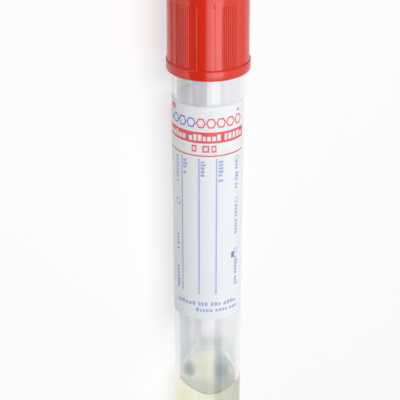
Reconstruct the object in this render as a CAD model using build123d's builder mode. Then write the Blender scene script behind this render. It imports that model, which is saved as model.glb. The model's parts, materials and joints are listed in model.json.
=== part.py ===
"""Blood collection tube, lying on its side as it comes to rest. Sizes are in millimetres.

The tube has a round bottom and a push-on cap, so it cannot stand. It lies on the cap's rim and on
the round bottom, with its axis along +Y and the cap's end a little higher, rolled until its heavy
side is lowest. Stations are distances along the tube's axis from the tip of the round bottom. Turns
are angles about the axis from the tube's front, positive towards the label's right-hand end.
"""
import os
from math import asin, atan2, cos, hypot, radians, sin, tan

from build123d import *

# ---- driving dimensions: tube ----
tube_length = 100.0  # tip of the round bottom to the mouth
mouth_radius = 8.05  # outside, at the mouth
tube_draft = 0.33  # moulding draft of the wall, degrees
tube_wall = 1.0
mouth_lip_fillet = 0.3

# ---- driving dimensions: cap ----
cap_height = 19.8
cap_overlap = 8.5  # how far the skirt reaches down over the tube
skirt_clearance = 0.15  # between the tube's mouth and the skirt
skirt_wall = 0.85
rim_height = 2.2
rim_projection = 0.22  # how far the rim stands out from the body
rim_fillet = 0.25
groove_radius = 0.16  # half-round groove that parts the rim from the body
top_band_height = 3.14
panel_depth = 0.28
pad_count = 5
pad_width_angle = 26.2  # degrees
pad_turn = -4.5  # turn of the pad nearest the front, degrees
rib_count = 8  # grip ribs in each panel
rib_pitch_angle = 3.2  # degrees
rib_radius = 0.17
plate_thickness = 1.6
well_lip_width = 1.6  # ring round the cap's open top
well_draft = 1.5  # degrees
cap_top_fillet = 0.5
well_lip_chamfer = 0.3

# ---- driving dimensions: stopper ----
flange_thickness = 2.2
flange_clearance = 0.1  # between the flange and the skirt
head_clearance = 1.05  # between the head and the foot of the cap's well
head_overhang = 1.0  # how far the head grips over the cap's plate
head_height = 1.2
head_fillet = 0.3
neck_clearance = 0.02  # between the neck and the cap's plate
needle_well_radius = 2.9
septum_thickness = 3.4
plug_length = 7.4
plug_clearance = 0.05  # between the sealing rings and the bore
plug_lead = 0.6  # bevel that starts the plug into the mouth
seal_ring_height = 1.5
seal_ring_shoulder = 0.4
seal_waist_depth = 0.35
plug_cup_depth = 4.2
plug_lip_width = 1.95  # flat ring round the cup at the plug's lower end
plug_cup_draft = 10.8  # degrees

# ---- driving dimensions: label ----
label_thickness = 0.1
label_glue_gap = 0.02
label_cap_gap = 6.3  # from the cap's rim to the label's upper edge
label_height = 51.9
label_wrap_angle = 300.0  # degrees
label_right_turn = 68.0  # turn of the label's right-hand end, degrees

# ---- driving dimensions: separator gel ----
gel_wall_gap = 0.03
gel_side_station = 15.7  # where the surface crosses the axis
gel_slant = 23.7  # degrees, low on the tube's front
gel_dish_radius = 18.2  # curvature of the hollowed surface
gel_dish_angle = 60.0  # reach of that curve to each side, degrees

# ---- driving dimension: how far the tube has rolled ----
rest_roll = 27.0  # from the upper side to the front, towards -X, degrees

# ---- worked out: the tube's wall ----
draft = radians(tube_draft)
base_radius = (mouth_radius - tube_length * tan(draft)) / (
    cos(draft) - (1 - sin(draft)) * tan(draft)
)
inner_base_radius = base_radius - tube_wall

# ---- worked out: stations and radii of the cap and the stopper ----
rim_station = tube_length - cap_overlap
groove_station = rim_station + rim_height
cap_top_station = rim_station + cap_height
panel_station = groove_station + groove_radius
panel_height = cap_top_station - top_band_height - panel_station
skirt_bore_radius = mouth_radius + skirt_clearance
cap_radius = skirt_bore_radius + skirt_wall
rim_radius = cap_radius + rim_projection
panel_floor_radius = cap_radius - panel_depth
panel_angle = 360 / pad_count - pad_width_angle
panel_turns = [pad_turn + 360 / pad_count * (n + 0.5) for n in range(pad_count)]
rib_span_angle = (rib_count - 1) * rib_pitch_angle
plate_station = tube_length + flange_thickness
plate_top_station = plate_station + plate_thickness
well_top_radius = cap_radius - well_lip_width
well_floor_radius = well_top_radius - (cap_top_station - plate_top_station) * tan(radians(well_draft))
head_radius = well_floor_radius - head_clearance
neck_radius = head_radius - head_overhang
plate_hole_radius = neck_radius + neck_clearance
flange_radius = skirt_bore_radius - flange_clearance
head_top_station = plate_top_station + head_height
plug_tip_station = tube_length - plug_length
lower_ring_bottom = plug_tip_station + plug_lead
lower_ring_top = lower_ring_bottom + seal_ring_height
upper_ring_bottom = tube_length - seal_ring_height
cup_top_station = plug_tip_station + plug_cup_depth
needle_well_floor_station = cup_top_station + septum_thickness

# ---- worked out: how the tube lies ----
# Seen from the side, the ground is the common tangent of the bottom's circle and the circle of the
# rim's rounded edge. That gives the lean of the axis.
rim_run = rim_station + rim_fillet - base_radius
rim_drop = rim_radius - rim_fillet
lean = atan2(rim_drop, rim_run) + asin((rim_fillet - base_radius) / hypot(rim_run, rim_drop))
axis_direction = Vector(0, cos(lean), sin(lean))
upper_side = Vector(0, -sin(lean), cos(lean))
# The gel is deepest at the back and the label is open at the right, so the tube's heavy side is
# lowest when its front has rolled this far.
roll = radians(rest_roll)
front_side = upper_side * cos(roll) - Vector(1, 0, 0) * sin(roll)
right_side = axis_direction.cross(front_side)
# The origin is on the ground under the middle of the whole length, from the round end to the
# lowest point of the cap's rounded top edge.
round_end_y = base_radius * (cos(lean) - 1)
cap_end_y = (
    (cap_top_station - cap_top_fillet) * cos(lean)
    + (cap_radius - cap_top_fillet) * sin(lean)
    + cap_top_fillet
)
tip = Vector(0, -(cap_end_y + round_end_y) / 2, base_radius * (1 - sin(lean)))
tube_axis = Axis(tip, axis_direction)


def section_plane(turn):
    """A plane through the axis at a turn: the radius is its x and the station is its y."""
    radial = front_side * cos(radians(turn)) + right_side * sin(radians(turn))
    return Plane(origin=tip, x_dir=radial, z_dir=radial.cross(axis_direction))


def cross_plane(station):
    """A plane square to the axis: a polar angle on it is a turn."""
    return Plane(origin=tip + axis_direction * station, x_dir=front_side, z_dir=axis_direction)


def outside_radius(station):
    """The drafted wall's outside radius at a station above the round bottom."""
    return mouth_radius - (tube_length - station) * tan(draft)


def bore_radius(station):
    """The bore's radius there: the wall is equally thick all along."""
    return outside_radius(station) - tube_wall / cos(draft)


def seal_ring_radius(station):
    """The radius of the stopper's sealing rings, which follow the drafted bore."""
    return bore_radius(station) - plug_clearance


def rings(builder, radius):
    """A builder's circular edges of one radius, from the lowest station to the highest."""
    circles = builder.edges().filter_by(GeomType.CIRCLE)
    return circles.filter_by(lambda edge: abs(edge.radius - radius) < 0.001).sort_by(tube_axis)


def round_bottomed_line(radius, top_station):
    """Draw a drafted wall with a round bottom, and return its two ends."""
    belly = radians(45)
    lowest = (0, base_radius - radius)
    belly_point = (radius * sin(belly), base_radius - radius * cos(belly))
    wall_foot = (radius * cos(draft), base_radius - radius * sin(draft))
    wall_head = (wall_foot[0] + (top_station - wall_foot[1]) * tan(draft), top_station)
    ThreePointArc(lowest, belly_point, wall_foot)
    Line(wall_foot, wall_head)
    return lowest, wall_head


# ---- tube: clear plastic, round bottom, rounded lip at the mouth ----
with BuildPart() as tube:
    with BuildSketch(section_plane(90)):
        with BuildLine():
            outer_tip, outer_lip = round_bottomed_line(base_radius, tube_length)
            inner_tip, inner_lip = round_bottomed_line(inner_base_radius, tube_length)
            Line(outer_lip, inner_lip)
            Line(outer_tip, inner_tip)
        make_face()
    revolve(axis=tube_axis)
    mouth_face = tube.faces().sort_by(tube_axis)[-1]
    fillet(mouth_face.edges(), radius=mouth_lip_fillet)
tube.part.label = "tube"

# ---- safety cap: skirt over the mouth, plate that carries the stopper, open well on top ----
with BuildPart() as safety_cap:
    with BuildSketch(section_plane(90)):
        with BuildLine():
            Polyline(
                (skirt_bore_radius, rim_station),
                (rim_radius, rim_station),
                (rim_radius, groove_station),
                (cap_radius, groove_station),
                (cap_radius, cap_top_station),
                (well_top_radius, cap_top_station),
                (well_floor_radius, plate_top_station),
                (plate_hole_radius, plate_top_station),
                (plate_hole_radius, plate_station),
                (skirt_bore_radius, plate_station),
                close=True,
            )
        make_face()
    revolve(axis=tube_axis)
    fillet(rings(safety_cap, rim_radius)[0], radius=rim_fillet)
    fillet(rings(safety_cap, cap_radius)[-1], radius=cap_top_fillet)
    chamfer(rings(safety_cap, well_top_radius)[-1], length=well_lip_chamfer)
    # The half-round groove above the rim.
    with BuildSketch(section_plane(90)):
        with Locations((cap_radius, panel_station)):
            Circle(groove_radius)
    revolve(axis=tube_axis, mode=Mode.SUBTRACT)
    # Sunk panels between the smooth pads.
    for turn in panel_turns:
        with BuildSketch(cross_plane(panel_station)):
            with BuildLine():
                first_turn = turn - panel_angle / 2
                panel_floor = CenterArc((0, 0), panel_floor_radius, first_turn, panel_angle)
                panel_outside = CenterArc((0, 0), rim_radius, first_turn, panel_angle)
                Line(panel_floor @ 0, panel_outside @ 0)
                Line(panel_floor @ 1, panel_outside @ 1)
            make_face()
        extrude(amount=panel_height, mode=Mode.SUBTRACT)
    # Fine grip ribs down the middle of each panel.
    with BuildSketch(cross_plane(panel_station)):
        for turn in panel_turns:
            with PolarLocations(
                panel_floor_radius,
                rib_count,
                start_angle=turn - rib_span_angle / 2,
                angular_range=rib_span_angle,
                endpoint=True,
            ):
                Circle(rib_radius)
    extrude(amount=panel_height)
safety_cap.part.label = "safety_cap"

# ---- stopper: rubber, its neck sprung through the cap's plate ----
with BuildPart() as stopper:
    plug_tip_radius = seal_ring_radius(lower_ring_bottom) - plug_lead
    plug_cup_radius = plug_tip_radius - plug_lip_width
    plug_cup_top_radius = plug_cup_radius - plug_cup_depth * tan(radians(plug_cup_draft))
    with BuildSketch(section_plane(90)):
        with BuildLine():
            Polyline(
                (0, needle_well_floor_station),
                (needle_well_radius, needle_well_floor_station),
                (needle_well_radius, head_top_station),
                (head_radius, head_top_station),
                (head_radius, plate_top_station),
                (neck_radius, plate_top_station),
                (neck_radius, plate_station),
                (flange_radius, plate_station),
                (flange_radius, tube_length),
                (seal_ring_radius(tube_length), tube_length),
                (seal_ring_radius(upper_ring_bottom), upper_ring_bottom),
                (
                    seal_ring_radius(upper_ring_bottom) - seal_waist_depth,
                    upper_ring_bottom - seal_ring_shoulder,
                ),
                (
                    seal_ring_radius(lower_ring_top) - seal_waist_depth,
                    lower_ring_top + seal_ring_shoulder,
                ),
                (seal_ring_radius(lower_ring_top), lower_ring_top),
                (seal_ring_radius(lower_ring_bottom), lower_ring_bottom),
                (plug_tip_radius, plug_tip_station),
                (plug_cup_radius, plug_tip_station),
                (plug_cup_top_radius, cup_top_station),
                (0, cup_top_station),
                close=True,
            )
        make_face()
    revolve(axis=tube_axis)
    fillet(rings(stopper, head_radius)[-1], radius=head_fillet)
stopper.part.label = "stopper"

# ---- label: thin film round most of the tube, with a clear window between its ends ----
with BuildPart() as label:
    label_top_station = rim_station - label_cap_gap
    label_bottom_station = label_top_station - label_height
    label_bottom_radius = outside_radius(label_bottom_station) + label_glue_gap
    label_top_radius = outside_radius(label_top_station) + label_glue_gap
    with BuildSketch(section_plane(label_right_turn - label_wrap_angle)):
        with BuildLine():
            Polyline(
                (label_bottom_radius, label_bottom_station),
                (label_top_radius, label_top_station),
                (label_top_radius + label_thickness, label_top_station),
                (label_bottom_radius + label_thickness, label_bottom_station),
                close=True,
            )
        make_face()
    revolve(axis=tube_axis, revolution_arc=label_wrap_angle)
label.part.label = "label"

# ---- separator gel: fills the round bottom, its top slanted and hollowed ----
with BuildPart() as separator_gel:
    gel_blank_station = gel_side_station + 2 * base_radius
    with BuildSketch(section_plane(90)):
        with BuildLine():
            gel_tip, gel_lip = round_bottomed_line(
                inner_base_radius - gel_wall_gap, gel_blank_station
            )
            Polyline(gel_lip, (0, gel_blank_station), gel_tip)
        make_face()
    revolve(axis=tube_axis)
    slant = radians(gel_slant)
    dish_centre = (gel_dish_radius * sin(slant), gel_side_station + gel_dish_radius * cos(slant))
    with BuildSketch(section_plane(0)):
        with BuildLine():
            surface = CenterArc(
                dish_centre, gel_dish_radius, 270 - gel_slant - gel_dish_angle, 2 * gel_dish_angle
            )
            above_station = gel_blank_station + gel_dish_radius
            Polyline(
                surface @ 0,
                ((surface @ 0).X, above_station),
                ((surface @ 1).X, above_station),
                surface @ 1,
            )
        make_face()
    extrude(amount=2 * base_radius, both=True, mode=Mode.SUBTRACT)
separator_gel.part.label = "separator_gel"

os.makedirs("parts", exist_ok=True)
export_step(tube.part, "parts/tube.step")
export_step(safety_cap.part, "parts/safety_cap.step")
export_step(stopper.part, "parts/stopper.step")
export_step(label.part, "parts/label.step")
export_step(separator_gel.part, "parts/separator_gel.step")
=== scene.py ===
# %% [markdown]
# # A blood collection tube, one finish at a time
#
# The part is a clear tube with a round bottom, closed by a ribbed red cap. It comes from CAD with
# its true sizes, and this lesson dresses it: clear plastic that bends light, a glossy moulded cap,
# a satin label with its print, a rubber stopper and a plug of pale gel in the round bottom.
# The first cell loads the CAD model as a fixed frame.

# %% Load the frame
import json
from math import acos, cos, degrees, exp, hypot, pi, radians, sin, sqrt, tan

import bmesh
import bpy
import numpy as np
from mathutils import Matrix, Vector


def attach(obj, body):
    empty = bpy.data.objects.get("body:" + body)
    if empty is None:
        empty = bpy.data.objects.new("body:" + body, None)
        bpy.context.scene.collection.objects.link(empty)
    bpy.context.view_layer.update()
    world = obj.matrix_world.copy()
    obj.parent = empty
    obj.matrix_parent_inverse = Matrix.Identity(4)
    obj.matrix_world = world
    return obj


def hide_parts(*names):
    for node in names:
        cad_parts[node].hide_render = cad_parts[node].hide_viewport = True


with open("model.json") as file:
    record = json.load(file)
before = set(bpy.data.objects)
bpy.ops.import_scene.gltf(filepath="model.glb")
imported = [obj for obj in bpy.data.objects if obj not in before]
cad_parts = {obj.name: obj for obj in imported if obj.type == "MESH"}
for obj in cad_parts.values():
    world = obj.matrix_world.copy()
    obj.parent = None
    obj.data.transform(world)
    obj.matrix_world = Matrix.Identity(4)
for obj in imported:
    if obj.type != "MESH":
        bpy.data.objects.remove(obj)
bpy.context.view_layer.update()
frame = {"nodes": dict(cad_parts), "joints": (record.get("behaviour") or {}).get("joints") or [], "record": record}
nodes, record = frame["nodes"], frame["record"]
print("CAD nodes:", sorted(nodes))

# %% [markdown]
# ## A ruler that lies along the tube
#
# Nearly everything on this object is turned: it is round about one axis, which leans a little,
# because the tube lies on its round end and on the rim of its cap. So places are given as a
# station, the distance from the tip along the axis, a turn about the axis and a radius. The tip and
# the axis come from the CAD model's own mounts and joint. The tube has also rolled 27 degrees to
# rest on its heavy side, so its front, turn 0, faces up and to the left.

# %% The tube's own coordinates
mounts = {m["name"]: m for m in record["mounts"]}
tip = Vector(mounts["rack_socket"]["pos_m"])
axis = Vector(frame["joints"][0]["axis"]).normalized()
upper_side = Vector((1, 0, 0)).cross(axis)
rest_roll = radians(27)
front_side = upper_side * cos(rest_roll) - Vector((1, 0, 0)) * sin(rest_roll)
right_side = axis.cross(front_side)
MM = 0.001


def place(station, turn, radius):
    """A point of the row frame: station and radius in millimetres, turn in degrees."""
    angle = radians(turn)
    out = front_side * cos(angle) + right_side * sin(angle)
    return tip + (axis * station + out * radius) * MM


def station_of(point):
    return (Vector(point) - tip).dot(axis) / MM


cap_top_station = station_of(mounts["cap_top"]["pos_m"])
print("cap top at station", round(cap_top_station, 2), "mm")

# %% [markdown]
# ## Rounded corners
#
# Moulded plastic has no knife edges. A Bevel modifier could round them, but it can't give each corner
# its own radius. So a profile is written down with a fillet beside each corner that has one, and this
# helper puts an arc there: it finds the arc's centre on the line that halves the corner, and then
# swings from where the arc leaves one side to where it meets the other.


# %% Round the corners of a profile
def rounded(corners, steps=5):
    """Round a profile: each corner is (radius, station) or (radius, station, fillet)."""
    line = []
    for n, corner in enumerate(corners):
        here = Vector(corner[:2])
        fillet = corner[2] if len(corner) > 2 else 0
        if not fillet:
            line.append((here.x, here.y))
            continue
        before = (Vector(corners[n - 1][:2]) - here).normalized()
        after = (Vector(corners[(n + 1) % len(corners)][:2]) - here).normalized()
        half = acos(max(-1, min(1, before.dot(after)))) / 2
        centre = here + (before + after).normalized() * (fillet / sin(half))
        start = here + before * (fillet / tan(half)) - centre
        end = here + after * (fillet / tan(half)) - centre
        sweep = pi - 2 * half
        for k in range(steps + 1):
            share = k / steps
            a, b = sin((1 - share) * sweep) / sin(sweep), sin(share * sweep) / sin(sweep)
            spot = centre + start * a + end * b
            line.append((spot.x, spot.y))
    return line


sample = rounded([(0, 0), (1, 0, 0.5), (1, 1)], steps=2)
print("a rounded corner:", [(round(x, 2), round(y, 2)) for x, y in sample])

# %% [markdown]
# ## Turning a profile
#
# A lathe turns a profile about an axis, and so does `turned`: each corner of the profile becomes a
# ring of points, and neighbouring rings are joined with faces. A Screw modifier could do it too,
# but here the radius may change with the turn, which the cap's grip ribs need later. Every piece of
# this lesson, turned or not, is made into an object by `shown_piece`, which also sees to its normals
# and keeps only its real corners sharp.


# %% Make pieces from points, and turn profiles
def shown_piece(name, points, faces, sharp=35):
    """An object made of points and faces. Edges bent by more than sharp, in degrees, stay hard."""
    mesh = bpy.data.meshes.new(name)
    mesh.from_pydata([tuple(p) for p in points], [], faces)
    shell = bmesh.new()
    shell.from_mesh(mesh)
    bmesh.ops.recalc_face_normals(shell, faces=shell.faces)
    shell.to_mesh(mesh)
    shell.free()
    mesh.shade_smooth()
    mesh.set_sharp_from_angle(angle=radians(sharp))
    piece = bpy.data.objects.new(name, mesh)
    bpy.context.scene.collection.objects.link(piece)
    print(f"{name}: {len(points)} points, {len(faces)} faces")
    return piece


def ring_faces(rings, count):
    """Faces between neighbouring rings of so many points. A ring of one point closes an end."""
    faces = []
    for low, high in zip(rings, rings[1:]):
        for k in range(count):
            n = k + 1
            corners = [low[k % len(low)], low[n % len(low)], high[n % len(high)], high[k % len(high)]]
            faces.append(list(dict.fromkeys(corners)))
    return faces


def turned(name, profile, turns, radius_at=None, closed=False, sharp=35):
    """Turn a profile of (radius, station) about the axis. A radius of 0 is a point on the axis."""
    points, rings = [], []
    for radius, station in profile:
        first = len(points)
        for turn in turns if radius > 0 else [0]:
            here = radius_at(radius, station, turn) if radius_at else radius
            points.append(place(station, turn, here))
        rings.append(range(first, len(points)))
    if closed:
        rings.append(rings[0])
    return shown_piece(name, points, ring_faces(rings, len(turns)), sharp)


def even_turns(count):
    return [360 * k / count for k in range(count)]


print("a quarter is", even_turns(4)[1], "degrees")

# %% [markdown]
# ## Writing finishes as sums
#
# A finish is a small recipe: noise here, a mask there, added and multiplied. Wired by hand in the
# node editor such recipes are hard to read, so this class wraps a node's output and turns Python's
# operators into Math nodes. `1 - mask` works because of the reflected forms.


# %% Shader sums
class Amount:
    """A value that varies over a surface: the output of a node."""

    def __init__(self, recipe, output):
        self.recipe, self.output = recipe, output

    def sum(self, operation, first, second):
        inputs = {0: first, 1: second}
        return self.recipe.node("Math", {"operation": operation}, inputs)

    def __add__(self, other):
        return self.sum("ADD", self, other)

    def __mul__(self, other):
        return self.sum("MULTIPLY", self, other)

    def __sub__(self, other):
        return self.sum("SUBTRACT", self, other)

    def __rsub__(self, other):
        return self.sum("SUBTRACT", other, self)

    __radd__, __rmul__ = __add__, __mul__


print("operators that add Math nodes: + - *")

# %% [markdown]
# ## A recipe book
#
# Any other node comes from one method, `node`, that takes its type, its settings and what goes into
# its sockets. The other methods are the few things that finishes here are mixed from: the larger of
# two masks, the kind of ray that arrives, a blend of two colours, noise, a distance along one of the
# tube's directions, and a soft step between two values.


# %% Recipes
class Recipe:
    """The node tree of a material or of the world."""

    def __init__(self, tree):
        self.tree = tree
        tree.nodes.clear()

    def node(self, kind, settings, inputs, out=0):
        made = self.tree.nodes.new("ShaderNode" + kind)
        for name, value in settings.items():
            setattr(made, name, value)
        for name, value in inputs.items():
            if isinstance(value, Amount):
                self.tree.links.new(value.output, made.inputs[name])
            else:
                made.inputs[name].default_value = value
        return Amount(self, made.outputs[out]) if made.outputs else None

    def either(self, first, second):
        """The larger of two masks."""
        return self.node("Math", {"operation": "MAXIMUM"}, {0: first, 1: second})

    def ray(self, name):
        """What the Light Path node knows about the ray that arrives."""
        return self.node("LightPath", {}, {}, out=name)

    def mix(self, share, first, second):
        """Blend two colours."""
        settings = {"data_type": "RGBA"}
        return self.node("Mix", settings, {0: share, 6: first, 7: second}, out=2)

    def spots(self, scale, detail=2.0, stretch=(1, 1, 1)):
        """Noise in the object's own metres, scale in waves a metre, stretched along x, y, z."""
        where = self.node("TexCoord", {}, {}, out="Object")
        settings = {"operation": "MULTIPLY"}
        where = self.node("VectorMath", settings, {0: where, 1: stretch})
        inputs = {"Vector": where, "Scale": scale, "Detail": detail}
        return self.node("TexNoise", {}, inputs, out="Fac")

    def measure(self, direction):
        """Millimetres from the tube's tip along a direction."""
        where = self.node("TexCoord", {}, {}, out="Object")
        where = self.node("VectorMath", {"operation": "SUBTRACT"}, {0: where, 1: tip})
        inputs = {0: where, 1: direction}
        dot = self.node("VectorMath", {"operation": "DOT_PRODUCT"}, inputs, out="Value")
        return dot * (1 / MM)

    def ease(self, value, low, high):
        """0 below low, 1 above high, and smooth between them."""
        inputs = {"Value": value, "From Min": low, "From Max": high}
        return self.node("MapRange", {"interpolation_type": "SMOOTHSTEP"}, inputs)

    def ends_in(self, shader, kind="OutputMaterial"):
        self.node(kind, {}, {"Surface": shader})


def new_finish(name):
    material = bpy.data.materials.new(name)
    material.use_nodes = True
    print("finish:", name)
    return material, Recipe(material.node_tree)


# %% [markdown]
# ## Dressing a piece
#
# Every piece gets the same things: its finish, the body that it rides on when the closure is pulled
# and, where it stands for a CAD node, that node's name, so that the node is hidden. A piece may have a
# second finish on chosen faces, which the label's glued side and the gel's surface need.


# %% Dress a piece
def dress(piece, material, body, slot, *replaced, second=None, chosen=None):
    """The second finish goes on the faces for which chosen is true."""
    piece.data.materials.clear()
    piece.data.materials.append(material)
    if second:
        piece.data.materials.append(second)
        for face in piece.data.polygons:
            face.material_index = int(chosen(face))
    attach(piece, body)
    if replaced:
        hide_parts(*replaced)
    print(f"{piece.name} rides on {body}")


print("bodies to ride on:", sorted(record["behaviour"]["bodies"]))

# %% [markdown]
# ## The clear tube
#
# The real tube is injection moulded from clear polyester, with a wall 1 mm thick. It has to be a
# real wall with an inside and an outside, because the light bends at both: that is what draws the
# bright lines down its sides. The profile goes up the outside, over the rounded lip and down the
# inside. The wall leans out by a third of a degree, the draft that lets it leave its mould.

# %% Sizes of the tube
TUBE_LENGTH, MOUTH_RADIUS, WALL = 100.0, 8.05, 1.0
LIP_FILLET = 0.3
draft = radians(0.33)
foot_radius = MOUTH_RADIUS - TUBE_LENGTH * tan(draft)
base_radius = foot_radius / (cos(draft) - (1 - sin(draft)) * tan(draft))


def outside_radius(station):
    return MOUTH_RADIUS - (TUBE_LENGTH - station) * tan(draft)


def bore_radius(station):
    return outside_radius(station) - WALL / cos(draft)


def round_bottom(radius, steps=24):
    """The line of a round bottom, from the axis to where the drafted wall starts."""
    top = pi / 2 - draft
    line = [(0, base_radius - radius)]
    for k in range(1, steps + 1):
        angle = top * k / steps
        line.append((radius * sin(angle), base_radius - radius * cos(angle)))
    return line


def wall_stations(low, high, pitch=4.0):
    count = max(1, round((high - low) / pitch))
    return [low + (high - low) * k / count for k in range(count + 1)]


print("round bottom:", round(base_radius, 3), "mm in radius")

# %% Turn the tube
outer_line = round_bottom(base_radius)
outer_line += [(outside_radius(s), s) for s in wall_stations(outer_line[-1][1], TUBE_LENGTH)[1:-1]]
inner_line = round_bottom(base_radius - WALL)
inner_line += [(bore_radius(s), s) for s in wall_stations(inner_line[-1][1], TUBE_LENGTH)[1:-1]]
lip = rounded(
    [
        outer_line[-1],
        (MOUTH_RADIUS, TUBE_LENGTH, LIP_FILLET),
        (bore_radius(TUBE_LENGTH), TUBE_LENGTH, LIP_FILLET),
        inner_line[-1],
    ]
)
tube_line = outer_line[:-1] + lip + inner_line[-2::-1]
tube = turned("tube_wall", tube_line, even_turns(192), sharp=60)

# %% [markdown]
# ## Shade painted on the wall
#
# The wall's colour has shade painted into it. It lies on the left half of the wall and is darkest near
# the cap. Towards the far left it fades out, and right at the side it ends in a narrow painted grey
# line. A second painted shade, a cloudy grey, lies on the back of the wall above the gel. Both could be
# painted on by hand. Here they are masks: distances along the tube's own directions, eased from 0 to 1
# and broken up by noise. So they are sharp from near and follow the tube when it moves. `haze` makes
# soft clouds. `streaks` is noise pulled long along the tube, as the melt leaves it, and serves the
# plastic below as well.

# %% Where shade is painted on the wall
SHADE_STARTS, SHADE_FULL = 3.5, -4.0  # millimetres to the right of the axis
SHADE_FADES, SHADE_ENDS = -5.2, -8.3
SIDE_LINE = 0.5  # millimetres from the tube's left side
SHADE_ABOVE_GEL_TOP, SHADE_ABOVE_GEL_FULL = 6.0, 0.8  # millimetres above the gel's edge
GEL_MIDDLE, GEL_RISE = 15.9, 0.33  # the edge's station at the sides, and its fall towards the front

clear, recipe = new_finish("clear_polyester")
streaks = recipe.spots(900, 1.0, (1.0, 0.03, 1.0))
haze = recipe.spots(160, 2.0)
to_right, to_front = recipe.measure(right_side), recipe.measure(front_side)
along = recipe.measure(axis)
# Painted shade on the left half of the wall, fading out towards the far left.
painted_shade = recipe.ease(to_right + 3 * haze + 2 * streaks, SHADE_STARTS, SHADE_FULL)
painted_shade = painted_shade * recipe.ease(to_right, SHADE_ENDS, SHADE_FADES)
from_side = to_right + MOUTH_RADIUS - tan(draft) * (TUBE_LENGTH - along)
# A narrow painted grey line of shade right at the tube's left side.
painted_shade = painted_shade + recipe.ease(from_side, SIDE_LINE, 0.2)
# Painted shade: a cloudy grey on the back of the wall, just above the gel.
above_gel = along + GEL_RISE * to_front - GEL_MIDDLE
shade_above_gel = recipe.ease(above_gel, SHADE_ABOVE_GEL_TOP, SHADE_ABOVE_GEL_FULL) * recipe.ease(above_gel, 0.0, 0.5)
shade_above_gel = shade_above_gel * recipe.ease(to_front, 0.5, -3.0)
shade_above_gel = shade_above_gel * recipe.ease(recipe.spots(330, 1.0, (1.0, 0.5, 1.0)), 0.3, 0.6)

# %% The wall's tint and painted shade
# The first colour is the plastic's own slight grey. The other two are painted shade, darker near the cap.
bare, wall_shade_low, wall_shade_high = (0.925, 0.93, 0.94, 1), (0.775, 0.785, 0.815, 1), (0.655, 0.655, 0.66, 1)
wall_shade = recipe.mix(recipe.ease(along, 84, 88), wall_shade_low, wall_shade_high)
tint = recipe.mix(painted_shade, bare, wall_shade)
# The painted shade above the gel.
tint = recipe.mix(shade_above_gel, tint, (0.67, 0.71, 0.72, 1))
print("the wall is tinted by", len(clear.node_tree.nodes), "nodes")

# %% [markdown]
# ## Clear polyester
#
# Clear plastic is a Principled surface with full transmission. Its index is 1.57, higher than
# glass. A moulded tube is never quite even, so the roughness and a very weak bump follow the streaks.
# Two kinds of ray find no way through bent surfaces, and for both the wall is plainly transparent
# with a slight grey. One kind are the rays that look for the lamps, shadow and diffuse rays. The
# other are rays that have been caught inside the wall and thrown back three times: they would be
# given up as black, and draw a black ring round the lip.

# %% Finish of the tube
bump = recipe.node("Bump", {}, {"Strength": 0.02, "Distance": 0.0002, "Height": streaks})
inputs = {
    "Base Color": tint,
    "Roughness": 0.012 + 0.03 * haze * streaks,
    "IOR": 1.57,
    "Transmission Weight": 1.0,
    "Normal": bump,
}
wall = recipe.node("BsdfPrincipled", {}, inputs)
caught = recipe.ease(recipe.ray("Glossy Depth"), 2.5, 3.5)
rays = recipe.either(recipe.either(recipe.ray("Is Shadow Ray"), recipe.ray("Is Diffuse Ray")), caught)
pass_through = recipe.node("BsdfTransparent", {}, {"Color": (0.96, 0.965, 0.97, 1)})
recipe.ends_in(recipe.node("MixShader", {}, {0: rays, 1: wall, 2: pass_through}))
dress(tube, clear, "tube_body", "clear_plastic", "tube")

# %% [markdown]
# ## The gel
#
# A soft gel fills the round bottom. In the centrifuge it will rise and part the serum from the
# cells, but as delivered it has set at a slant, with a hollowed top. The wet gel sticks to the wall
# and creeps up it a little, in a wavy line. So its outside is pushed a hair into the wall, which
# makes the plastic touch it with no air between them, and its top surface curls up at its edge.
# The wavy line is a sum of a few waves round the tube, and the surface blends from a flat slant in
# the middle to that line at the wall, less a hollow and two dents where bubbles have set.

# %% The gel's surface
GEL_INTO_WALL = 0.02
GEL_REACH = bore_radius(16) + GEL_INTO_WALL
SURFACE_STATION, SURFACE_FALL, HOLLOW = 15.87, 2.7, 1.1
EDGE_WAVES = ((1, -2.28, -0.21), (2, 0.30, -0.25), (3, -0.56, 0.0))  # waves a turn, cosine, sine
DENTS = ((-1.3, -4.5, 1.9, 1.4), (-1.2, 3.4, 3.8, 2.0))  # front, right, half sizes
DENT_DEPTH = 0.5


def gel_edge(turn):
    """The station of the line where the gel's surface meets the wall."""
    t = radians(turn)
    return SURFACE_STATION + sum(c * cos(n * t) + s * sin(n * t) for n, c, s in EDGE_WAVES)


def gel_top(turn, share):
    """The station of the gel's surface, at a share of the way from the axis to the wall."""
    front, right = GEL_REACH * share * cos(radians(turn)), GEL_REACH * share * sin(radians(turn))
    even = SURFACE_STATION - SURFACE_FALL * share * cos(radians(turn))
    station = even + (gel_edge(turn) - even) * share**3 - HOLLOW * (1 - share**2)
    for dent_front, dent_right, half_front, half_right in DENTS:
        gap = hypot((front - dent_front) / half_front, (right - dent_right) / half_right)
        station -= DENT_DEPTH * exp(-(gap**2))
    return station


print("gel at the wall, front and back:", round(gel_edge(0), 2), round(gel_edge(180), 2), "mm")

# %% [markdown]
# ## From rings to a plug
#
# The gel is built like a turned piece, ring by ring: up the round bottom, up the wall to the wavy
# line, and over the surface to its middle. Its rings aren't level, so they are made one by one, and
# only joined in the same way. A bead of gel, thick at the front and thin at the back, catches the
# light along the line. It is a piece of its own, because it has its own finish.


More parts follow.
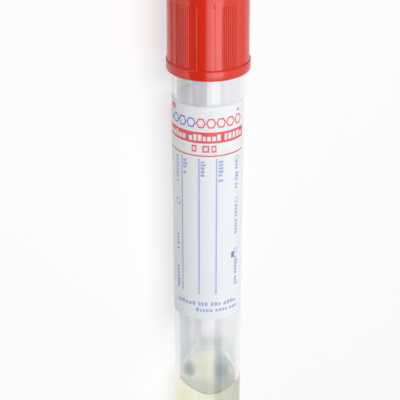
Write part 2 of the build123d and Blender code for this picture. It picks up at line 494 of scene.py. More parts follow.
# %% Build the gel
def gel_piece(turns):
    points, rings = [], []
    foot = base_radius - (base_radius - WALL) * sin(draft)

    def ring(spot_of, count=len(turns)):
        first = len(points)
        points.extend(place(*spot_of(turn)) for turn in turns[:count])
        rings.append(range(first, len(points)))

    def on_wall(turn, share):
        station = foot + (gel_top(turn, 1) - foot) * share
        return station, turn, bore_radius(station) + GEL_INTO_WALL

    for radius, station in round_bottom(base_radius - WALL + GEL_INTO_WALL):
        ring(lambda turn: (station, turn, radius), len(turns) if radius else 1)
    for share in (0.25, 0.5, 0.75, 1.0):
        ring(lambda turn: on_wall(turn, share))
    for share in [1 - 0.04 * k for k in range(1, 25)] + [0]:
        ring(lambda turn: (gel_top(turn, share), turn, GEL_REACH * share), len(turns) if share else 1)
    return shown_piece("gel_plug", points, ring_faces(rings, len(turns)), sharp=50)


gel = gel_piece(even_turns(120))

# %% Build the bead
BEAD_THIN, BEAD_MORE = 0.03, 0.08


def bead_piece(turns, across=10):
    points, faces = [], []
    for turn in turns:
        from_front = radians((turn + 180) % 360 - 180)
        size = BEAD_THIN + BEAD_MORE * max(0, cos(0.9 * from_front))
        for k in range(across):
            angle = 2 * pi * k / across
            station = gel_edge(turn) + 0.05 + size * sin(angle)
            points.append(place(station, turn, GEL_REACH - 0.1 + size * cos(angle)))
    for n in range(len(turns)):
        m = (n + 1) % len(turns)
        for k in range(across):
            j = (k + 1) % across
            faces.append([n * across + k, n * across + j, m * across + j, m * across + k])
    return shown_piece("gel_bead", points, faces, sharp=80)


bead = bead_piece(even_turns(120))

# %% [markdown]
# ## Pale wet gel
#
# The gel is cream coloured, cloudy and wet. Light goes into it and comes out somewhere else, which
# is subsurface scattering, and its skin is smooth as water. Little of the lamps' light finds its way
# through the bent wall, so a weak glow, stronger on the left, stands in for the light that really
# fills the gel. The side, the surface and the bead have one recipe and three tints.


# %% Recipe of the gel
def gel_finish(name, tint, depth=0.006, glow=0.0):
    """Cloudy gel. The tint is a function of the recipe and its cloud, and depth is in metres."""
    material, recipe = new_finish(name)
    cloud, grain = recipe.spots(180, 3.0), recipe.spots(1500, 2.0)
    left = recipe.ease(recipe.measure(right_side), 6.0, -7.0)
    inputs = {
        "Base Color": tint(recipe, cloud),
        "Emission Color": recipe.mix(left, (0, 0, 0, 1), (0.95, 0.90, 0.68, 1)),
        "Emission Strength": glow,
        "Roughness": 0.10 + 0.06 * grain,
        "IOR": 1.47,
        "Subsurface Weight": 0.8,
        "Subsurface Radius": (1.0, 0.9, 0.65),
        "Subsurface Scale": depth,
    }
    recipe.ends_in(recipe.node("BsdfPrincipled", {}, inputs))
    return material


print("light spreads up to 6 mm through the gel")

# %% [markdown]
# ## The gel's tints
#
# In the wall the gel is cream, and painted shade turns it a duller green-grey on the right. On its
# surface painted shade greys the rim at the back and makes the front darker and greener. In the two
# dents painted reflection and shade are blue-grey, with a darker painted core in the right one, and a
# small warm painted glint beside it. Each is an oval mask that mixes one more colour in. The bead is
# painted a darker grey shade along the line, and pale grey at the back.


# %% Tints of the gel
def side_tint(recipe, cloud):
    # Painted shade: the cream gel turns a duller green-grey towards the right.
    side = recipe.ease(recipe.measure(right_side) + 2 * cloud, -6.0, 7.5)
    return recipe.mix(side, (0.96, 0.92, 0.69, 1), (0.71, 0.73, 0.57, 1))


def top_tint(recipe, cloud):
    front, right = recipe.measure(front_side), recipe.measure(right_side)

    def oval(middle_front, middle_right, half_front, half_right, inner=0.2, outer=1.9):
        """A soft oval. Inner and outer are the squared shares of its half sizes where it fades."""
        down = (front - middle_front) * (1 / half_front)
        over = (right - middle_right) * (1 / half_right)
        return recipe.ease(down * down + over * over, outer, inner)

    left_dent, right_dent = DENTS
    # Painted shade: grey near the wall at the back.
    rim = recipe.ease(front * front + right * right, 17, 36) * recipe.ease(front, 1.0, -2.5)
    shade = recipe.mix(cloud, (0.93, 0.91, 0.72, 1), (0.97, 0.96, 0.80, 1))
    shade = recipe.mix(rim, shade, (0.80, 0.82, 0.81, 1))
    # Painted shade: darker and greener towards the front.
    shade = recipe.mix(recipe.ease(front + 4 * cloud, 2.2, 5.2), shade, (0.74, 0.76, 0.64, 1))
    # Painted reflection and shade: blue-grey in the left dent, grey in the right one with a darker core.
    shade = recipe.mix(oval(*left_dent, -0.4, 2.3), shade, (0.30, 0.39, 0.43, 1))
    shade = recipe.mix(oval(*right_dent), shade, (0.64, 0.71, 0.69, 1))
    shade = recipe.mix(oval(-1.3, 3.2, 1.6, 1.2), shade, (0.53, 0.61, 0.62, 1))
    # A painted warm glint beside the right dent.
    return recipe.mix(oval(-1.5, 5.5, 1.2, 0.5), shade, (1.0, 0.94, 0.62, 1))


def bead_tint(recipe, cloud):
    # Painted shade: the bead is a darker grey along the line, and pale grey at the back like the rim's shade.
    shade = recipe.mix(cloud, (0.52, 0.53, 0.44, 1), (0.60, 0.60, 0.51, 1))
    return recipe.mix(recipe.ease(recipe.measure(front_side), 2.5, -1.5), shade, (0.86, 0.87, 0.85, 1))


print("dents in the gel's surface:", len(DENTS))

# %% Finish of the gel
side_gel = gel_finish("gel_in_the_wall", side_tint, glow=0.36)
top_gel = gel_finish("gel_surface", top_tint, 0.0015, glow=0.18)
bead_gel = gel_finish("gel_edge", bead_tint)


def faces_up_the_tube(face):
    return face.normal.dot(axis) > 0.3


dress(gel, side_gel, "tube_body", "gel", "separator_gel", second=top_gel, chosen=faces_up_the_tube)
dress(bead, bead_gel, "tube_body", "gel")

# %% [markdown]
# ## The label
#
# The label is a thin printed film that goes most of the way round and leaves a clear window, through
# which the filling can be seen. It is a strip of the same cone as the tube's wall, a tenth of a
# millimetre thick, with its own two ends. A plane wrapped on by a Shrinkwrap modifier would do for
# the film, but the print needs the same curved plates at a hundred places, so one function lays a
# closed plate round the tube between two radii and serves both.


# %% Lay a plate round the tube
def curved_plate(turns, stations, low_radius, high_radius, first=0):
    """Points and faces of a closed plate, whose first point will have the number first."""
    points, faces = [], []
    for radius_at in (low_radius, high_radius):
        for station in stations:
            points += [place(station, turn, radius_at(station)) for turn in turns]
    wide, tall = len(turns), len(stations)

    def patch(*corners):
        """A face between corners, each a side (0 or 1), a row and a column."""
        faces.append([first + (side * tall + row) * wide + column for side, row, column in corners])

    for r in range(tall - 1):
        for c in range(wide - 1):
            for side in (0, 1):
                patch((side, r, c), (side, r, c + 1), (side, r + 1, c + 1), (side, r + 1, c))
    for r in range(tall - 1):
        for c in (0, wide - 1):
            patch((0, r, c), (0, r + 1, c), (1, r + 1, c), (1, r, c))
    for c in range(wide - 1):
        for r in (0, tall - 1):
            patch((0, r, c), (0, r, c + 1), (1, r, c + 1), (1, r, c))
    return points, faces


smallest = curved_plate([0, 1], [0, 1], bore_radius, outside_radius)
print("the smallest plate has", len(smallest[1]), "faces")

# %% Build the label
LABEL_LOW, LABEL_HIGH = 33.3, 85.2
LABEL_RIGHT, LABEL_WRAP, LABEL_STEPS = 68.0, 300.0, 150
LABEL_LEFT = LABEL_RIGHT - LABEL_WRAP
FILM_GAP, FILM = 0.02, 0.1


def film_radius(station):
    """The radius of the film's printed side."""
    return outside_radius(station) + FILM_GAP + FILM


def glued_radius(station):
    return outside_radius(station) + FILM_GAP


label_turns = [LABEL_LEFT + LABEL_WRAP * k / LABEL_STEPS for k in range(LABEL_STEPS + 1)]
label_stations = wall_stations(LABEL_LOW, LABEL_HIGH)
label = shown_piece("label_film", *curved_plate(label_turns, label_stations, glued_radius, film_radius))

# %% [markdown]
# ## Satin film
#
# Label film is white plastic with a satin coat. Close up it has a very fine grain, and it never lies
# perfectly flat: a slow unevenness shows in its gloss. Both are noise that drives a bump. A little
# light comes through the film, which a Translucent surface mixed in by a fifth gives.

# %% Finish of the label's printed side
film, recipe = new_finish("satin_film")
grain = recipe.spots(6000, 2.0)
wave = recipe.spots(120, 1.0)
bump = recipe.node("Bump", {}, {"Strength": 0.06, "Distance": 0.0003, "Height": grain * 0.25 + wave})
inputs = {
    "Base Color": recipe.mix(wave, (0.93, 0.96, 0.985, 1), (0.955, 0.975, 0.99, 1)),
    "Roughness": 0.34 + 0.14 * grain,
    "IOR": 1.46,
    "Normal": bump,
}
shader = recipe.node("BsdfPrincipled", {}, inputs)
through = recipe.node("BsdfTranslucent", {}, {"Color": (0.95, 0.96, 0.97, 1)})
recipe.ends_in(recipe.node("MixShader", {}, {0: 0.2, 1: shader, 2: through}))

# %% [markdown]
# ## The glued side
#
# Through the clear window one sees the label from behind. There it is duller, and really lit from
# outside, through the film. A weak glow, lighter at the right where the window lets more in, stands
# in for that light. It is only for rays that come through the clear plastic. For all others this side
# isn't there, and they meet the printed side's finish alone.

# %% Finish of the label's glued side
glue, recipe = new_finish("glued_side")
grain = recipe.spots(3000, 2.0)
patches = recipe.spots(250, 1.0, (1.0, 0.1, 1.0))
near_window = recipe.ease(recipe.measure(right_side) + 3 * patches, 3.5, 6.5)
inputs = {
    "Base Color": (0.9, 0.91, 0.92, 1),
    "Roughness": 0.3 + 0.3 * grain,
    "Emission Color": recipe.mix(near_window, (0.36, 0.36, 0.37, 1), (0.66, 0.67, 0.68, 1)),
    "Emission Strength": 1.0,
}
inner = recipe.node("BsdfPrincipled", {}, inputs)
clear_film = recipe.node("BsdfTransparent", {}, {})
seen_through = recipe.ray("Is Transmission Ray")
recipe.ends_in(recipe.node("MixShader", {}, {0: seen_through, 1: clear_film, 2: inner}))


def faces_inwards(face):
    """True for the film's side towards the axis, and not for its edges."""
    spot = face.center - tip
    from_axis = spot - axis * spot.dot(axis)
    return face.normal.dot(from_axis) < -0.5 * outside_radius(60) * MM


dress(label, film, "tube_body", "label_film", "label", second=glue, chosen=faces_inwards)

# %% [markdown]
# ## The print
#
# The print is plain fields of ink: a wide red band with blank blocks, rows of small blocks where a
# maker would put words, three blue writing lines that run along the tube, and a chain of hexagons,
# as in a drawing of a molecule, where a name would stand. Each is a thin plate of ink that follows
# the label's curve, so its edges stay sharp however near the camera comes. All plates of one ink are
# gathered in one sheet and become one piece. They reach a little into the film, so none can float.

# %% Ink plates
INK, WHITE_INK, INK_ROOT = 0.012, 0.02, 0.03  # over the film, white over red, and into the film


class InkSheet:
    """Gathers plates of one ink. Across is in millimetres round the label, from its front."""

    def __init__(self, thick=INK):
        self.points, self.faces, self.thick = [], [], thick

    def field(self, left, right, low, high):
        """A field from one turn to another and from one station to another."""
        count = max(1, round((right - left) / 3))
        turns = [left + (right - left) * k / count for k in range(count + 1)]
        added = curved_plate(
            turns,
            wall_stations(low, high),
            lambda s: film_radius(s) - INK_ROOT,
            lambda s: film_radius(s) + self.thick,
            len(self.points),
        )
        self.points += added[0]
        self.faces += added[1]

    def bar(self, across, station, width, height):
        """A small bar about a middle, in millimetres."""
        turn = degrees(across / film_radius(station))
        half = degrees(width / 2 / film_radius(station))
        self.field(turn - half, turn + half, station - height / 2, station + height / 2)

    def outline(self, across, station, radius, stroke, corners, lean=0.0, squeeze=1.0, parts=5):
        """An outlined regular polygon, its sides in parts so that they follow the label."""
        first, count = len(self.points), corners * parts
        for depth in (-INK_ROOT, self.thick):
            for size in (radius, radius - stroke):
                for k in range(count):
                    here, there = (2 * pi * (k // parts + n) / corners + lean for n in (0, 1))
                    share = k % parts / parts
                    side = cos(here) * (1 - share) + cos(there) * share
                    up = sin(here) * (1 - share) + sin(there) * share
                    spot = station + size * up
                    turn = degrees((across + size * squeeze * side) / film_radius(spot))
                    self.points.append(place(spot, turn, film_radius(spot) + depth))
        for a, b in ((0, 1), (2, 3), (0, 2), (1, 3)):
            for k in range(count):
                n = (k + 1) % count
                faces = [a * count + k, a * count + n, b * count + n, b * count + k]
                self.faces.append([first + i for i in faces])

    def piece(self, name):
        return shown_piece(name, self.points, self.faces)


print("ink stands", INK, "mm over the film")

# %% [markdown]
# ## Rows of blocks
#
# Small print is not read at this size, only seen as a grey texture with the rhythm of words. So it
# becomes rows of blank blocks: as wide as letters, about one in three of them taller, with a wider
# gap after three to seven. The chance behind them is seeded, so every run gives the same rows.

# %% Blocks where small print would be
luck = np.random.default_rng(7)
GAP, WORD_GAP = 0.26, 0.8
TALL_SHARE, LOW_HEIGHT = 0.3, 0.72


def letters(length, wide):
    """Blocks as wide as letters and parted like words, to fill a length: places and widths."""
    spot, left_in_word = 0.0, luck.integers(3, 8)
    while spot < length:
        width = wide * (0.75 + 0.4 * luck.random())
        yield spot + width / 2, width
        left_in_word -= 1
        spot += width + (GAP if left_in_word else WORD_GAP) * (0.6 + 0.6 * wide)
        left_in_word = left_in_word or luck.integers(3, 8)


def words_round(sheet, left, right, station, height, wide=0.6):
    """A row of blocks round the label where small print would be, left and right in turns."""
    start = radians(left) * film_radius(station)
    for spot, width in letters(radians(right) * film_radius(station) - start, wide):
        tall = height * (1.0 if luck.random() < TALL_SHARE else LOW_HEIGHT)
        sheet.bar(start + spot, station + (tall - height) / 2, width, tall)


def words_along(sheet, turn, high, low, height, wide=0.55):
    """A row of blocks along the tube, its feet towards the left."""
    for spot, width in letters(high - low, wide):
        tall = height * (1.0 if luck.random() < TALL_SHARE else LOW_HEIGHT)
        across = radians(turn) * film_radius(high) + (tall - height) / 2
        sheet.bar(across, high - spot, tall, width)


print("gaps between blocks and between words:", GAP, WORD_GAP, "mm")

# %% [markdown]
# ## Where the ink goes
#
# Bars and outlines are placed in millimetres across from the front, fields and rows of blocks in
# turns, and all of them at stations along the tube. Red has the band, the rule under it, a few blocks
# at the top left, three outlined boxes and half of the chain. White has its blocks on the band.

# %% Red and white print
red_ink, white_ink = InkSheet(), InkSheet(WHITE_INK)
for low, high in ((76.7, 79.3), (73.55, 73.85)):
    red_ink.field(LABEL_LEFT, LABEL_RIGHT - 2, low, high)
words_round(red_ink, -75, -61, 84.1, 1.9, 0.8)
BOX, BOX_STATION = 1.6, 75.35
for across, width in ((-3.2, 1.1), (-0.55, 1.5), (1.25, 1.1)):
    red_ink.outline(across, BOX_STATION, BOX / sqrt(2), 0.5, 4, radians(45), width / BOX)
CHAIN, LINK_PITCH, FIRST_RED_LINK = 81.4, 2.27, -1.65


def chain_link(sheet, number):
    """A hexagon of the chain. Number 0 is the first red one, and those before it are blue."""
    sheet.outline(FIRST_RED_LINK + LINK_PITCH * number, CHAIN, 1.3, 0.36, 6, squeeze=0.86)


for number in range(5):
    chain_link(red_ink, number)
words_round(white_ink, -84, 60, 78.0, 1.5, 0.85)
print("red plates have", len(red_ink.faces), "faces, white ones", len(white_ink.faces))

# %% [markdown]
# ## Two blues
#
# The chain's other half and two small marks are in a deep blue. The writing lines, the blocks at
# their heads and the small print on both sides are finer, so they come out as a paler blue.

# %% Blue print
deep_blue, pale_blue = InkSheet(), InkSheet()
for number in range(-1, -5, -1):
    chain_link(deep_blue, number)
deep_blue.bar(7.45, 83.6, 0.5, 0.6)
deep_blue.bar(6.1, 48.7, 0.9, 1.4)
WRITING_LINES, LINE_WIDTH = (-45.8, -14.7, 13.2), 0.3
half_line = degrees(LINE_WIDTH / 2 / film_radius(60))
for turn in WRITING_LINES:
    pale_blue.field(turn - half_line, turn + half_line, 39.7, 73.0)
for turn, high, low in ((-38.8, 72.4, 68.9), (-7.8, 72.4, 69.2), (20.4, 72.4, 67.7)):
    words_along(pale_blue, turn, high, low, 1.15)
LEFT_COLUMN, RIGHT_COLUMN = -56, 52  # turns
for high, low in ((72.6, 66.0), (53.4, 49.4), (45.4, 40.6)):
    words_along(pale_blue, LEFT_COLUMN, high, low, 1.0)
pale_blue.outline(radians(LEFT_COLUMN) * film_radius(61.5), 61.5, 0.85, 0.25, 20)
for high, low in ((71.4, 64.5), (60.8, 53.0), (48.0, 41.2)):
    words_along(pale_blue, RIGHT_COLUMN, high, low, 1.1)
for station in (72.0, 61.9, 49.4):
    across = radians(RIGHT_COLUMN) * film_radius(station)
    pale_blue.outline(across, station, 0.8, 0.22, 4, radians(45))
words_round(pale_blue, -58, RIGHT_COLUMN, 37.2, 0.95, 0.6)
words_round(pale_blue, -20, RIGHT_COLUMN, 35.7, 0.95, 0.55)
print("pale blue plates have", len(pale_blue.faces), "faces")

# %% [markdown]
# ## Inks
#
# Printing ink is a thin film of colour over the white label, so it is never quite even. A little
# noise lets the white show through, and the gloss follows the label's.


# %% Finish of the inks
def ink_finish(name, thin, full):
    material, recipe = new_finish(name)
    cover = recipe.spots(2500, 3.0)
    inputs = {
        "Base Color": recipe.mix(cover, thin, full),
        "Roughness": 0.3 + 0.15 * cover,
        "IOR": 1.48,
    }
    recipe.ends_in(recipe.node("BsdfPrincipled", {}, inputs))
    return material


INKS = (
    (red_ink, "red", (0.93, 0.17, 0.19, 1), (0.84, 0.06, 0.08, 1)),
    (white_ink, "white", (0.90, 0.88, 0.90, 1), (0.96, 0.95, 0.96, 1)),
    (deep_blue, "deep_blue", (0.24, 0.32, 0.72, 1), (0.1, 0.17, 0.6, 1)),
    (pale_blue, "pale_blue", (0.56, 0.60, 0.88, 1), (0.34, 0.39, 0.78, 1)),
)
for sheet, hue, thin, full in INKS:
    ink = ink_finish(hue + "_ink", thin, full)
    dress(sheet.piece("print_" + hue), ink, "tube_body", "label_film")

# %% [markdown]
# ## The cap
#
# The cap is one moulding: a skirt over the tube's mouth with a rim at its foot, five smooth pads with
# sunk, ribbed panels between them, a band at the top, and an open well whose plate holds the stopper.
# Panels and ribs could be cut with Boolean modifiers, but then every small edge would need its own
# rounding. So the cap is turned from a closed profile instead, and its radius is changed on the way.

# %% Sizes of the cap
RIM_LOW, RIM_HIGH, BAND_LOW = 91.5, 93.7, cap_top_station - 3.14  # stations
CAP_RADIUS, RIM_RADIUS, GROOVE = 9.05, 9.27, 0.16
SKIRT_BORE, PLATE_HOLE, PLATE_LOW, PLATE_HIGH = 8.2, 5.224, 102.2, 103.8
WELL_RIM, WELL_FOOT = 7.45, 7.254
PADS, FIRST_PAD = 5, -4.5  # how many, and the turn of a pad's middle
PANEL_DEPTH, PANEL_HALF = 0.28, 22.9  # millimetres and degrees
PAD_HALF = 180 / PADS - PANEL_HALF
RIBS, RIB_PITCH, RIB_RADIUS = 8, 3.2, 0.17
EASE, HEAD_EASE = 1.2, 0.12  # where a panel's side and head round off, in degrees and millimetres
SHOULDER, SHOULDER_DROP = 4.2, 0.4  # a pad's soft edge: degrees, and a share of the panel's depth
panel_middles = [FIRST_PAD + 360 / PADS * (n + 0.5) for n in range(PADS)]
print("a pad is", round(2 * PAD_HALF, 1), "degrees wide, and a panel", 2 * PANEL_HALF)

# %% [markdown]
# ## Pads, panels and ribs
#
# Between the groove and the band the radius is lowered in the panels, and raised again to a half
# circle on each rib. A pad doesn't end in an edge at its side: it bends softly down over a few
# degrees, and only then drops into the panel.


# %% The outside of the cap
def smooth(share):
    """0 below 0, 1 above 1, and smooth between them."""
    share = max(0.0, min(1.0, share))
    return share * share * (3 - 2 * share)


def cap_radius_at(radius, station, turn):
    """The radius at a point of the profile when it has turned so far."""
    if radius < SKIRT_BORE + 0.3 or not RIM_HIGH + GROOVE <= station <= BAND_LOW:
        return radius
    off = min(((turn - m + 180) % 360 - 180 for m in panel_middles), key=abs)
    near_edge = max(0.0, min(1.0, 1 - (abs(off) - PANEL_HALF) / SHOULDER))
    sunk = max(smooth((PANEL_HALF - abs(off)) / EASE), SHOULDER_DROP * near_edge**1.5)
    outside = CAP_RADIUS - PANEL_DEPTH * sunk * smooth((BAND_LOW - station) / HEAD_EASE)
    place_in_pitch = (off / RIB_PITCH + (RIBS - 1) / 2) % 1
    from_rib = min(place_in_pitch, 1 - place_in_pitch) * radians(RIB_PITCH) * CAP_RADIUS
    if abs(off) < RIB_PITCH * RIBS / 2 and from_rib < RIB_RADIUS:
        rib = CAP_RADIUS - PANEL_DEPTH + sqrt(RIB_RADIUS**2 - from_rib**2)
        outside = max(outside, rib)
    return min(radius, outside)


on_a_rib = cap_radius_at(CAP_RADIUS, 98, panel_middles[0] + RIB_PITCH / 2)
print("radius on a rib:", round(on_a_rib, 3), "mm")

# %% [markdown]
# ## Where the cap is divided
#
# A turned piece is as fine as its turns. Even ones would have to be very close everywhere to catch
# the ribs, so here they are close on each rib, at the panels' sides and on the pads' soft edges, and
# wide where the cap is plain.


# %% The cap's turns
def cap_turns():
    turns = set()
    last_rib = RIB_PITCH * (RIBS - 1) / 2
    rib_half = degrees(RIB_RADIUS / CAP_RADIUS)
    for middle in panel_middles:
        for side in (-1, 1):
            edge = middle + side * PANEL_HALF
            turns |= {edge - side * EASE * k / 5 for k in range(6)}
            turns |= {edge + side * SHOULDER * k / 5 for k in range(1, 6)}
            turns |= {edge + side * (SHOULDER + (PAD_HALF - SHOULDER) * k / 3) for k in range(1, 4)}
            turns |= {middle + side * (last_rib + 1.3 + 2.1 * k) for k in range(5)}
        for rib in range(RIBS):
            top = middle + rib * RIB_PITCH - last_rib
            turns |= {top + rib_half * share for share in (-0.999, -0.87, -0.5, 0, 0.5, 0.87, 0.999)}
    return sorted({round(t % 360, 5) for t in turns})


print("the cap has", len(cap_turns()), "turns")

# %% Build the cap
side_stations = [RIM_HIGH + 2 * GROOVE + 0.01, 94.6]
side_stations += wall_stations(96, BAND_LOW - 1, 3) + [BAND_LOW - 0.4]
side_stations += [BAND_LOW - HEAD_EASE * (1 - k / 5) for k in range(6)]
groove_angles = [pi * k / 8 for k in range(9)]
groove_middle = RIM_HIGH + GROOVE
cap_line = rounded(
    [
        (SKIRT_BORE, RIM_LOW, 0.1),
        (RIM_RADIUS, RIM_LOW, 0.25),
        (RIM_RADIUS, RIM_HIGH, 0.07),
        *[(CAP_RADIUS - GROOVE * sin(a), groove_middle - GROOVE * cos(a)) for a in groove_angles],
        *[(CAP_RADIUS, station) for station in side_stations],
        (CAP_RADIUS, cap_top_station, 0.5),
        (WELL_RIM, cap_top_station, 0.3),
        (WELL_FOOT, PLATE_HIGH, 0.15),
        (PLATE_HOLE, PLATE_HIGH, 0.1),
        (PLATE_HOLE, PLATE_LOW, 0.1),
        (SKIRT_BORE, PLATE_LOW, 0.1),
    ]
)
cap = turned("cap_shell", cap_line, cap_turns(), cap_radius_at, closed=True, sharp=32)

# %% [markdown]
# ## Glossy red polypropylene
#
# The cap's plastic is a strong, slightly orange red. It is glossy, but a mould's skin is not a
# mirror: fine grain and slow waves blur the highlights. Polypropylene also glows a little from
# inside, so some of its light is scattered below the surface. Between the ribs less light gets in
# and out, so shade is painted into the red there, by ambient occlusion felt only over four tenths of
# a millimetre.

# %% Finish of the cap
red_plastic, recipe = new_finish("red_polypropylene")
grain = recipe.spots(3500, 3.0)
flow = recipe.spots(260, 2.0, (1.0, 0.35, 1.0))
bump = recipe.node("Bump", {}, {"Strength": 0.05, "Distance": 0.0002, "Height": grain * 0.5 + flow})
red = recipe.mix(flow, (0.755, 0.027, 0.006, 1), (0.805, 0.034, 0.009, 1))
settings = {"samples": 8, "only_local": True}
openness = recipe.node("AmbientOcclusion", settings, {"Distance": 0.4 * MM}, out="AO")
inputs = {
    # Painted shade: ambient occlusion darkens the red between the ribs and in narrow corners.
    "Base Color": recipe.mix(recipe.ease(openness, 0.2, 0.9), (0.36, 0.008, 0.003, 1), red),
    "Roughness": 0.12 + 0.08 * grain,
    "IOR": 1.55,
    "Subsurface Weight": 0.15,
    "Subsurface Radius": (0.002, 0.0004, 0.0002),
    "Subsurface Scale": 0.5,
    "Normal": bump,
}
recipe.ends_in(recipe.node("BsdfPrincipled", {}, inputs))
dress(cap, red_plastic, "closure", "red_cap_plastic", "safety_cap")

# %% [markdown]
# ## The stopper
#
# Under the plate the rubber stopper plugs the tube with two sealing rings, and its head grips the
# cap's plate from above. A needle goes down the well in the head and through the thin floor. Rubber
# corners are soft, so every corner of the profile is rounded.

# %% Build the stopper
stopper_corners = [
    (0, 100.2),  # the floor of the needle well
    (2.9, 100.2, 0.3),
    (2.9, 105.0, 0.25),  # the head
    (6.2, 105.0, 0.3),
    (6.2, PLATE_HIGH, 0.1),
    (5.2, PLATE_HIGH, 0.05),  # the neck
    (5.2, PLATE_LOW, 0.05),
    (8.1, PLATE_LOW, 0.2),  # the flange, which lies on the tube's lip
    (8.1, TUBE_LENGTH, 0.2),
    (6.99, TUBE_LENGTH, 0.1),  # the upper sealing ring
    (6.98, 98.5, 0.3),
    (6.63, 98.1, 0.3),
    (6.62, 95.1, 0.3),
    (6.96, 94.7, 0.3),  # the lower one
    (6.95, 93.2, 0.3),
    (6.36, 92.6, 0.2),
    (4.41, 92.6, 0.2),  # the cup in the plug's end
    (3.61, 96.8, 0.4),
    (0, 96.8),
]
stopper = turned("stopper_rubber", rounded(stopper_corners), even_turns(128))

# %% [markdown]
# ## Grey rubber
#
# Moulded rubber is matt and dark, with a pale bloom of the powder that keeps it from sticking.

# %% Finish of the stopper
rubber, recipe = new_finish("grey_rubber")
pores = recipe.spots(5000, 3.0)
bloom = recipe.spots(400, 3.0)
bump = recipe.node("Bump", {}, {"Strength": 0.25, "Distance": 0.0001, "Height": pores})
inputs = {
    "Base Color": recipe.mix(bloom, (0.075, 0.075, 0.085, 1), (0.13, 0.13, 0.14, 1)),
    "Roughness": 0.55 + 0.25 * bloom,
    "IOR": 1.5,
    "Normal": bump,
}
recipe.ends_in(recipe.node("BsdfPrincipled", {}, inputs))
dress(stopper, rubber, "closure", "stopper_rubber", "stopper")

# %% [markdown]
# ## The floor
#
# A white floor catches the shadow. Lit only by the lamps it would come out grey. More light would
# whiten it, but would bleach the tube as well. So part of it glows, just enough to be white, and only
# for rays that look at it: from the camera, from a mirroring surface or through clear plastic.


# %% Floor
def flat_sheet(name, wide, long):
    """A rectangle that is no part of the tube, flat in x and y about the origin."""
    x, y = wide / 2, long / 2
    mesh = bpy.data.meshes.new(name)
    mesh.from_pydata([(-x, -y, 0), (x, -y, 0), (x, y, 0), (-x, y, 0)], [], [(0, 1, 2, 3)])
    sheet = bpy.data.objects.new(name, mesh)
    bpy.context.scene.collection.objects.link(sheet)
    return sheet


def looks(recipe):
    """1 for a ray that looks: from the camera, a mirroring surface or clear plastic."""
    mirrored = recipe.either(recipe.ray("Is Camera Ray"), recipe.ray("Is Glossy Ray"))
    return recipe.either(mirrored, recipe.ray("Is Transmission Ray"))


FLOOR_SIZE, GLOW_SHARE, GLOW = 6.0, 0.6, 1.10
floor = flat_sheet("floor", FLOOR_SIZE, FLOOR_SIZE)
paper, recipe = new_finish("white_paper")
lit = recipe.node("BsdfDiffuse", {}, {"Color": (0.85, 0.85, 0.85, 1)})
glow = recipe.node("Emission", {}, {"Color": (1, 1, 1, 1), "Strength": GLOW})
recipe.ends_in(recipe.node("MixShader", {}, {0: looks(recipe) * GLOW_SHARE, 1: lit, 2: glow}))
floor.data.materials.append(paper)

# %% [markdown]
# ## The world
#
# The world is both the white backdrop and the light that fills the shadows. A backdrop has to have a
# strength of 1 to be white, which as light would leave no shadows at all. So there are two of them,
# and the kind of ray picks one: white for rays that look, and a quarter of it as light.

# %% World
FILL = 0.26
world = bpy.data.worlds.new("studio")
bpy.context.scene.world = world
world.use_nodes = True
recipe = Recipe(world.node_tree)
fill = recipe.node("Background", {}, {"Color": (1, 1, 1, 1), "Strength": FILL})
backdrop = recipe.node("Background", {}, {"Color": (1, 1, 1, 1), "Strength": 1.0})
recipe.ends_in(recipe.node("MixShader", {}, {0: looks(recipe), 1: fill, 2: backdrop}), "OutputWorld")
print("fill light:", FILL)

# %% [markdown]
# ## A stand that faces the tube
#
# On a glossy tube every lamp shows as a bright line along it, and the line's place depends on how far
# the lamp is turned about the axis. So a stand is placed by that turn, by its rise towards the cap's
# end and by its distance, and it faces a point of the axis. The camera looks from beyond the cap,
# so whatever it sees mirrored stands towards the round end or beyond it, at a station below 0.


# %% A stand for lamps, cards and the camera
LOOK_STATION = 59.5


def aimed(turn, rise, distance, station=LOOK_STATION):
    """A place that faces a point of the axis. Turn and rise in degrees, distance in metres."""
    radial = (place(0, turn, 1) - tip).normalized()
    lift = radians(rise)
    back = radial * cos(lift) + axis * sin(lift)
    up = axis * cos(lift) - radial * sin(lift)
    facing = Matrix((up.cross(back), up, back)).transposed().to_4x4()
    return Matrix.Translation(place(station, 0, 0) + back * distance) @ facing


print("a stand over the label, m:", [round(x, 2) for x in aimed(0, 0, 0.4).translation])

# %% [markdown]
# ## Lamps
#
# A wide softbox beyond the round end draws the highlight down the cap. A smaller one before it, its
# heart, gives the highlight a bright core, and a strip further out draws the thin line in the lower
# part of the tube. Most of the light comes from a large softbox on the camera's side. It is there to
# bring out the colours, and is kept out of the gloss.


# %% Lamps
def softbox(name, stand, wide, long, radiance, mirrored=True):
    """A lamp, wide across the tube and long along it."""
    lamp = bpy.data.lights.new(name, "AREA")
    lamp.shape, lamp.size, lamp.size_y = "RECTANGLE", wide, long
    lamp.energy = radiance * pi * wide * long
    holder = bpy.data.objects.new(name, lamp)
    holder.matrix_world = stand
    holder.visible_camera = False
    holder.visible_glossy = mirrored
    bpy.context.scene.collection.objects.link(holder)
    print(f"{name}: {lamp.energy:.3f} W")


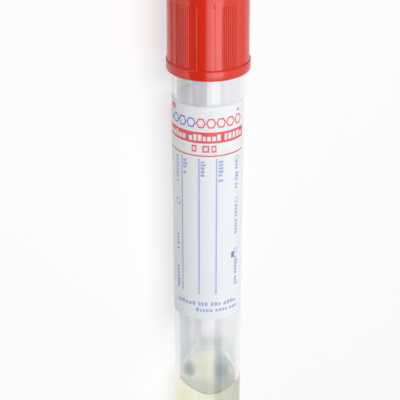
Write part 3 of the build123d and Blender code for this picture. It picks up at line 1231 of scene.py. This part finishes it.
softbox("key_softbox", aimed(19.5, 0, 0.40, -35), 0.34, 0.12, 1.5)
softbox("key_heart", aimed(25, 0, 0.39, -35), 0.19, 0.12, 1.1)
softbox("strip_softbox", aimed(11.5, 0, 0.40, -190), 0.18, 0.12, 0.5)
softbox("front_softbox", aimed(29, 27, 0.50), 0.34, 0.24, 6.0, mirrored=False)

# %% [markdown]
# ## Cards
#
# In a white room a glossy thing has no shape: it mirrors white all over. In a studio, dark cards are
# put up beside the lamps, so that the highlight ends and the colour shows, and a bright card where a
# thin light line should run along the side. These cards show only in gloss and through clear plastic,
# and take no light away. The one at the side doesn't even show in plastic, where it would draw a
# black line down the tube.


# %% Cards
def flag(name, stand, wide, long, shade, in_plastic=True):
    """A card that only shows in gloss and, if wanted, through clear plastic."""
    card = flat_sheet(name, wide, long)
    card.matrix_world = stand
    card.visible_camera = card.visible_diffuse = card.visible_shadow = False
    card.visible_transmission = in_plastic
    face, recipe = new_finish(name)
    recipe.ends_in(recipe.node("Emission", {}, {"Color": (1, 1, 1, 1), "Strength": shade}))
    card.data.materials.append(face)


flag("flag_left", aimed(-18.5, 0, 0.38, -40), 0.17, 0.24, 0.02)
flag("flag_side", aimed(-41, 0, 0.385, -40), 0.17, 0.24, 0.06, in_plastic=False)
flag("flag_right", aimed(38, 0, 0.38, -190), 0.18, 0.12, 0.05)
flag("card_left", aimed(-58, 0, 0.40, -80), 0.07, 0.26, 1.8)

# %% [markdown]
# ## The camera
#
# The camera looks down on the lying tube, square to its label's front, from beyond the cap, with a
# long lens that keeps the sides nearly parallel. It stands slightly to one side, so that the tube
# is a little right of the middle.

# %% Camera
CAMERA_RISE, CAMERA_DISTANCE, CAMERA_LEFT = 24.85, 0.458, 1.8  # degrees, metres, millimetres
lens = bpy.data.cameras.new("camera")
lens.sensor_width, lens.lens = 36, 183.7
lens.clip_start, lens.clip_end = 0.01, 10
camera = bpy.data.objects.new("camera", lens)
aside = Matrix.Translation(right_side * -CAMERA_LEFT * MM)
camera.matrix_world = aside @ aimed(0, CAMERA_RISE, CAMERA_DISTANCE)
bpy.context.scene.collection.objects.link(camera)
bpy.context.scene.camera = camera
bpy.context.scene.view_settings.view_transform = "Standard"
print("camera at", [round(x, 3) for x in camera.location])
